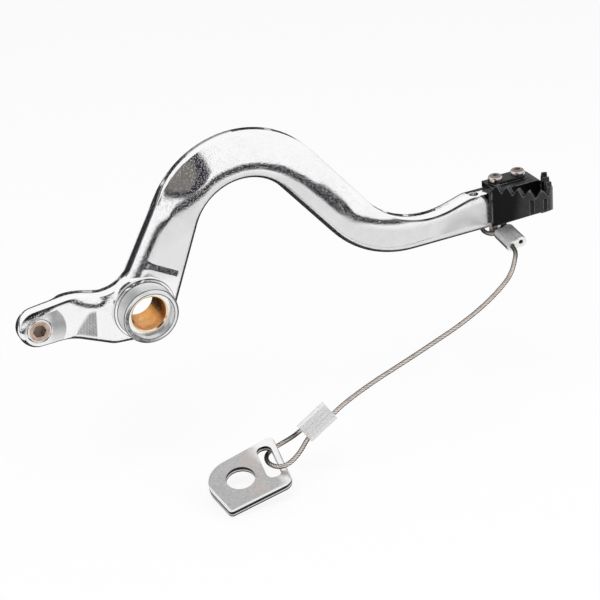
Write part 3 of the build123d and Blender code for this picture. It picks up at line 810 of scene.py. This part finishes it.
class PEDAL_OT_finish_bush(bpy.types.Operator):
    """Turns the bronze bush of the pivot"""

    bl_idname = "pedal.finish_bush"
    bl_label = "Finish the bush"

    def execute(self, context):
        bronze = context.scene.pedal_finishes.bronze
        finish = Finish("turned_bronze")
        x, y, z = finish.millimetres()
        radius = length(x, z)
        grooves = ((y + radius) * BUSH_MARKS + finish.noise(300.0) * 3.0).sine()
        patches = finish.noise(210.0, 4.0).step(0.3, 0.75)
        _, turn, _ = finish.parts(finish.normal())
        tint = finish.layers(
            shade(bronze, 1.2),
            (shade(bronze, 0.7), patches),
            # Painted shade over the bush's +X side
            (BUSH_SHADE, (x / radius).step(-0.2, 0.9) * 0.75),
            # A painted highlight on the faces turned along Y, the lip
            (BUSH_LIP_HIGHLIGHT, abs(turn).step(0.4, 0.8)),
        )
        normal = finish.bump(grooves, BUSH_RELIEF)
        wear(finish.surface(tint, 0.16 + patches * 0.14, normal), "pivot_bush")
        return {"FINISHED"}


class PEDAL_OT_finish_fasteners(bpy.types.Operator):
    """Plates the pushrod bolt, and polishes the step's screws and nut"""

    bl_idname = "pedal.finish_fasteners"
    bl_label = "Finish the fasteners"

    def execute(self, context):
        tints = context.scene.pedal_finishes
        wear(self.plated(tints), "pushrod_bolt")
        wear(self.bright(tints), "tip_screw_rear", "tip_screw_front", "tip_nut")
        return {"FINISHED"}

    def plated(self, tints):
        """Brownish plating, rubbed bright on the rim of the head, with painted shade in the socket and
        painted highlights on the socket's upward facets.
        """
        finish = Finish("plated_steel")
        x, _, z = finish.millimetres()
        _, _, radius = from_eye(x, z)
        rim = radius.step(*BOLT_RIM)
        stains = finish.noise(700.0, 4.0).step(0.3, 0.7)
        _, _, rise = finish.parts(finish.normal())
        # Painted shade in the socket, with painted highlights on the facets that face up
        socket = finish.tint(shade(tints.plating, 0.3), shade(tints.steel, 1.3), rise.step(0.2, 0.6))
        tint = finish.layers(
            shade(tints.plating, 1.1),
            (shade(tints.plating, 0.7), stains),
            (shade(tints.steel, 1.3), rim),
            (socket, radius.fall(*BOLT_SOCKET)),
        )
        marks = (radius * BOLT_MARKS).sine()
        normal = finish.bump(marks + stains, BOLT_RELIEF, finish.soft_edge(HEAD_EDGE))
        return finish.surface(tint, 0.30 - rim * 0.14, normal)

    def bright(self, tints):
        """Bright steel with fine turning hairs, and a painted darker, browner reflection on the crowns
        of the heads.
        """
        finish = Finish("bright_steel")
        hairs = finish.noise(1800.0, 3.0, stretch=(1.0, 1.0, 9.0))
        stains = finish.noise(600.0, 3.0).step(0.35, 0.75)
        upward = finish.vectors("DOT_PRODUCT", finish.normal(), SCREW_WAY)
        tint = finish.layers(
            opaque(tints.steel),
            (shade(tints.steel, 0.72), stains),
            # Painted darker, browner reflection on the crowns of the heads
            (shade(tints.plating, 0.40), upward.step(0.55, 0.9)),
        )
        normal = finish.bump(hairs, SCREW_RELIEF, finish.soft_edge(HEAD_EDGE))
        return finish.surface(tint, 0.12 + hairs * 0.16, normal)


class PEDAL_OT_finish_step(bpy.types.Operator):
    """Coats the toothed step in gloss black"""

    bl_idname = "pedal.finish_step"
    bl_label = "Finish the step"

    def execute(self, context):
        finish = Finish("black_coating")
        x, y, _ = finish.millimetres()
        edged = finish.soft_edge(STEP_EDGE)
        flat = finish.normal()
        forward, _, _ = finish.parts(flat)
        edge = finish.vectors("DOT_PRODUCT", edged, flat).fall(0.80, 0.999)
        peel = finish.noise(900.0, 3.0)
        dust = finish.noise(2600.0, 2.0).step(0.62, 0.8)
        # A painted highlight along the edges, in patches
        edge_highlight = edge * finish.noise(260.0, 3.0).step(0.3, 0.6)
        hoop = x.step(*HOOP_START) * y.fall(*HOOP_DEPTH) * (0.3 + finish.noise(340.0) * 0.9)
        nearby = {"samples": 8, "only_local": True}
        open_air = finish.add("ShaderNodeAmbientOcclusion", nearby, {"Distance": NOOK_REACH}, "AO")
        # Painted sheen on faces turned towards +X and on the hoop, kept out of the nooks, which stay
        # dark as painted shade
        sheen = forward.step(0.05, 0.6).most(hoop * 0.7).least(1.0) * open_air.step(0.6, 0.97)
        tint = finish.layers(
            opaque(context.scene.pedal_finishes.coating),
            (STEP_SHEEN, sheen),
            (STEP_EDGE_HIGHLIGHT, edge_highlight),
            (STEP_DUST, dust * 0.4),
        )
        normal = finish.bump(peel, STEP_RELIEF, edged)
        coat = finish.surface(tint, 0.20 + peel * 0.16, normal, metallic=0.0, specular=0.14)
        wear(coat, "step_tip")
        return {"FINISHED"}


class PEDAL_OT_lay_rope(bpy.types.Operator):
    """Lays the twisted strands of the safety rope along its route"""

    bl_idname = "pedal.lay_rope"
    bl_label = "Lay the rope"

    def execute(self, context):
        sizes = context.scene.pedal_rope
        centers = self.route_points()
        rope = self.twist(centers, sizes)
        rope.data.materials.append(self.wires(context.scene.pedal_finishes.rope))
        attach(rope, "pedal")
        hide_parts("safety_cable")
        return {"FINISHED"}

    def route_points(self):
        """Points read from a smooth spline over the route."""
        curve = bpy.data.curves.new("rope_route", "CURVE")
        curve.dimensions = "3D"
        curve.resolution_u = ROUTE_FINENESS
        spline = curve.splines.new("NURBS")
        spline.points.add(len(ROPE_ROUTE) - 1)
        for point, spot in zip(spline.points, ROPE_ROUTE):
            point.co = (*[part / 1000.0 for part in spot], 1.0)
        spline.order_u = 3
        spline.use_endpoint_u = True
        guide = bpy.data.objects.new("rope_route", curve)
        line = bpy.data.meshes.new_from_object(guide)
        points = [vertex.co.copy() for vertex in line.vertices]
        bpy.data.objects.remove(guide)
        bpy.data.curves.remove(curve)
        bpy.data.meshes.remove(line)
        return points

    def twist(self, centers, sizes):
        """One mesh of a core and the strands that turn round it."""
        count = sizes.strands
        share = math.sin(math.pi / count)
        strand = sizes.diameter / 2.0 * share / (1.0 + share) * STRAND_SWELL
        pitch = sizes.diameter / 2.0 - strand
        frames = carried_frames(centers)
        verts = []
        faces = []
        tubes = [(0.0, 0.0, pitch - strand * STRAND_SINK)]
        tubes += [(pitch, math.tau * turn / count, strand) for turn in range(count)]
        for reach, start, radius in tubes:
            middles = []
            run = 0.0
            for index, (center, (side, up)) in enumerate(zip(centers, frames)):
                if index:
                    run += (center - centers[index - 1]).length
                angle = start + math.tau * run / sizes.lay
                middles.append(center + (side * math.cos(angle) + up * math.sin(angle)) * reach)
            add_tube(verts, faces, middles, radius, ROPE_SIDES)
        rope = mesh_piece("wire_rope", verts, faces)
        self.mark_outward(rope.data, verts, centers, len(tubes))
        rope.data.polygons.foreach_set("use_smooth", [True] * len(rope.data.polygons))
        return rope

    def mark_outward(self, mesh, verts, centers, tubes):
        """Stores at each vertex the direction from the middle of the rope."""
        middles = [center for center in centers for _ in range(ROPE_SIDES)] * tubes
        outward = [(vert - middle).normalized() for vert, middle in zip(verts, middles)]
        layer = mesh.attributes.new("outward", "FLOAT_VECTOR", "POINT")
        layer.data.foreach_set("vector", [part for way in outward for part in way])

    def wires(self, rope):
        """Galvanised wire, darker in patches, with painted shade between its strands and at the rope's
        sides.
        """
        finish = Finish("rope_wire")
        patches = finish.noise(260.0, 4.0).step(0.3, 0.72)
        grains = finish.noise(2400.0, 3.0)
        outward = finish.add("ShaderNodeAttribute", {"attribute_name": "outward"}, output="Vector")
        aside = finish.aside(Normal=outward)
        crown = finish.vectors("DOT_PRODUCT", finish.normal(), outward)
        tint = finish.layers(
            shade(rope, 1.5),
            (shade(rope, 1.15), patches),
            # Painted shade between the strands and at the rope's sides
            (shade(rope, 0.2), crown.fall(0.45, 0.85)),
            (shade(rope, 0.06), aside.step(0.15, 0.5)),
        )
        return finish.surface(tint, 0.26 + grains * 0.2, finish.bump(grains, WIRE_RELIEF))


class PEDAL_OT_finish_sleeves(bpy.types.Operator):
    """Gives the two crimped sleeves their drawn soft alloy"""

    bl_idname = "pedal.finish_sleeves"
    bl_label = "Finish the sleeves"

    def execute(self, context):
        sleeve = context.scene.pedal_finishes.sleeve
        finish = Finish("soft_alloy")
        streaks = finish.noise(1300.0, 4.0, 0.65, stretch=(2.0, 0.6, 3.0))
        dents = finish.noise(380.0, 3.0)
        aside = finish.aside()
        _, _, rise = finish.parts(finish.normal())
        low_line = aside.step(0.15, 0.4) * rise.fall(-0.5, 0.0)
        tint = finish.layers(
            shade(sleeve, 1.07),
            (shade(sleeve, 0.72), streaks.step(0.45, 0.7)),
            # Painted shade at the sleeves' sides and along their lower edge
            (shade(sleeve, 0.05), aside.step(0.62, 0.9).most(low_line)),
        )
        normal = finish.bump(streaks * 0.3 + dents, SLEEVE_RELIEF, finish.soft_edge(SLEEVE_EDGE))
        soft = finish.surface(tint, 0.34 + streaks * 0.22, normal, metallic=0.55)
        wear(soft, "upper_ferrule", "lower_ferrule")
        return {"FINISHED"}


class PEDAL_OT_finish_tab(bpy.types.Operator):
    """Gives the folded anchor tab its rolled and plated sheet"""

    bl_idname = "pedal.finish_tab"
    bl_label = "Finish the tab"

    def execute(self, context):
        tab = context.scene.pedal_finishes.tab
        finish = Finish("tab_steel")
        rolled = finish.noise(1300.0, 4.0, 0.7, stretch=(0.7, 2.0, 1.0))
        clouds = finish.noise(120.0, 3.0)
        level = abs(finish.vectors("DOT_PRODUCT", finish.normal(), TAB_WAY))
        from_hole = finish.vectors("SUBTRACT", finish.place(), TAB_HOLE)
        to_slot, through, long_way, short_way = [
            finish.vectors("DOT_PRODUCT", from_hole, way) * 1000.0
            for way in (TAB_SLOT_WAY, TAB_WAY, TAB_LONG_WAY, TAB_SHORT_WAY)
        ]
        to_front, to_end = [
            short_way * short + long_way * long + gap for long, short, gap in (TAB_FRONT, TAB_END)
        ]
        # A painted highlight along the front and end edges of the upper sheet
        rim = to_front.least(to_end).fall(*TAB_RIM) * level.step(0.7, 0.9) * through.step(*UPPER_SHEET)
        rubbed = (to_slot + clouds * 8.0).step(*TAB_RUBBED_END)
        # The cut sides get painted shade, with a painted highlight band on the lower sheet
        edge = finish.tint(TAB_EDGE_SHADE, TAB_EDGE_HIGHLIGHT, through.span(LOWER_SHEET))
        tint = finish.layers(
            shade(tab, 1.2),
            (shade(tab, 0.76), rolled.step(0.3, 0.72)),
            (TAB_STAIN, clouds.step(0.48, 0.68) * 0.5),
            (TAB_RUBBED_AND_HIGHLIGHT, rubbed.most(rim)),
            (edge, level.fall(0.25, 0.6)),
        )
        normal = finish.bump(rolled + clouds, TAB_RELIEF, finish.soft_edge(TAB_EDGE))
        wear(finish.surface(tint, 0.34 + rolled * 0.16 - rubbed * 0.12, normal), "anchor_tab")
        return {"FINISHED"}


class PEDAL_OT_set_stage(bpy.types.Operator):
    """Sets the white floor, the soft light, the cards and the camera"""

    bl_idname = "pedal.set_stage"
    bl_label = "Set the stage"

    def execute(self, context):
        setup = context.scene.pedal_stage
        context.scene.view_settings.view_transform = "Standard"
        self.light_world(context.scene)
        floor_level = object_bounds()[0][2] - setup.floor_drop
        self.lay_floor(floor_level)
        self.hang_lamps(setup)
        self.stand_cards(floor_level + CARD_LIFT)
        self.place_camera(context.scene, setup)
        return {"FINISHED"}

    def light_world(self, scene):
        """Even white all round, at a lower level where it lights matt surfaces."""
        sky = Finish("white_tent", "worlds")
        tone = sky.tint(grey(MATT_LIGHT), grey(1.0), sky.seen())
        light = sky.add("ShaderNodeBackground", inputs={"Color": tone, "Strength": 1.0})
        sky.add("ShaderNodeOutputWorld", inputs={"Surface": light})
        scene.world = sky.owner

    def lay_floor(self, level):
        """A white floor that still takes the shadow."""
        finish = Finish("white_floor")
        grain = finish.noise(60.0)
        inputs = {"Base Color": finish.tint(*map(grey, FLOOR_GREYS), grain)}
        inputs.update({"Roughness": 0.9, "Specular IOR Level": 0.0})
        matt = finish.add("ShaderNodeBsdfPrincipled", inputs=inputs)
        mirrored = finish.add("ShaderNodeLightPath", output="Is Glossy Ray")
        tone = finish.tint(grey(1.0), grey(FLOOR_MIRRORED), mirrored)
        glow = finish.add("ShaderNodeEmission", inputs={"Color": tone, "Strength": FLOOR_GLOW})
        share = finish.seen() * FLOOR_GLOW_SHARE
        both = finish.add("ShaderNodeMixShader", inputs={0: share, 1: matt, 2: glow})
        floor = flat_piece("floor", FLOOR_CORNERS, level)
        floor.data.materials.append(finish.close(both))
        floor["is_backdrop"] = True

    def hang_lamps(self, setup):
        """One large lamp over the left shoulder and a weaker one from the right."""
        for name, spot, size, share in LAMPS:
            light = bpy.data.lights.new(name, "AREA")
            light.shape = "DISK"
            light.size = size
            light.energy = setup.lamp_power * share
            stand(name, light, spot, setup.camera_aim).visible_glossy = False

    def stand_cards(self, level):
        """Cards that only mirrored rays see: the skyline, three on the floor and the shoulder's."""
        cards = (
            ring_piece("skyline_card", SKYLINE_RADIUS, SKYLINE_LEVELS, SKYLINE_SIDES),
            # A painted shadow: for mirrored rays, the card under the arm darkens the floor beneath the
            # object
            flat_piece("under_card", UNDER_CARD, level),
            arc_piece("side_card", SIDE_CARD, level),
            arc_piece("far_card", FAR_CARD, level),
            leaf_piece("shoulder_card", SHOULDER_CARD_REACH, 1.0),
            leaf_piece("inner_card", INNER_CARD_REACH, INNER_CARD_SHARE),
        )
        dark = Finish("floor_dark").glow(CARD_DARK)
        shoulder = Finish("shoulder_dark").glow(SHOULDER_DARK)
        inner = Finish("shoulder_brown").glow(SHOULDER_BROWN)
        for card, tone in zip(cards, (self.skyline_finish(), dark, dark, dark, shoulder, inner)):
            card.data.materials.append(tone)
            card.visible_camera = False
            card.visible_diffuse = False
            card.visible_shadow = False
            card.visible_transmission = False
            card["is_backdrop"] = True

    def skyline_finish(self):
        """Dark along the skyline, and paler below it."""
        finish = Finish("skyline_dark")
        _, _, height = finish.parts(finish.place())
        return finish.glow(finish.tint(CARD_DARK, SKYLINE_PALE, height.fall(*SKYLINE_LEVELS[:2])))

    def place_camera(self, scene, setup):
        """The camera at the photograph's viewing angle."""
        lens = bpy.data.cameras.new("camera")
        lens.lens = setup.lens
        lens.sensor_width = SENSOR_WIDTH
        lens.clip_start = NEAREST_SEEN
        scene.camera = stand("camera", lens, setup.camera_place, setup.camera_aim)


class PEDAL_PT_dressing(bpy.types.Panel):
    """Sizes, colours and steps of the pedal's dressing"""

    bl_idname = "PEDAL_PT_dressing"
    bl_label = "Brake Pedal"
    bl_space_type = "VIEW_3D"
    bl_region_type = "UI"
    bl_category = "Pedal"

    def draw(self, context):
        layout = self.layout
        for name in GROUPS:
            group = getattr(context.scene, name)
            column = layout.box().column(align=True)
            for setting in group.__annotations__:
                column.prop(group, setting)
        steps = layout.column(align=True)
        for operator in STEPS:
            steps.operator(operator.bl_idname)


GROUPS = {"pedal_finishes": PedalFinishes, "pedal_rope": RopeSizes, "pedal_stage": StageSetup}
STEPS = (
    PEDAL_OT_lay_rope,
    PEDAL_OT_finish_arm,
    PEDAL_OT_finish_bush,
    PEDAL_OT_finish_fasteners,
    PEDAL_OT_finish_step,
    PEDAL_OT_finish_sleeves,
    PEDAL_OT_finish_tab,
    PEDAL_OT_set_stage,
)


def register():
    for name, group in GROUPS.items():
        bpy.utils.register_class(group)
        setattr(bpy.types.Scene, name, bpy.props.PointerProperty(type=group))
    for step in STEPS:
        bpy.utils.register_class(step)
    bpy.utils.register_class(PEDAL_PT_dressing)


def unregister():
    bpy.utils.unregister_class(PEDAL_PT_dressing)
    for step in reversed(STEPS):
        bpy.utils.unregister_class(step)
    for name, group in GROUPS.items():
        delattr(bpy.types.Scene, name)
        bpy.utils.unregister_class(group)


def main():
    register()
    bpy.ops.pedal.lay_rope()
    bpy.ops.pedal.finish_arm()
    bpy.ops.pedal.finish_bush()
    bpy.ops.pedal.finish_fasteners()
    bpy.ops.pedal.finish_step()
    bpy.ops.pedal.finish_sleeves()
    bpy.ops.pedal.finish_tab()
    bpy.ops.pedal.set_stage()


if __name__ == "__main__":
    main()
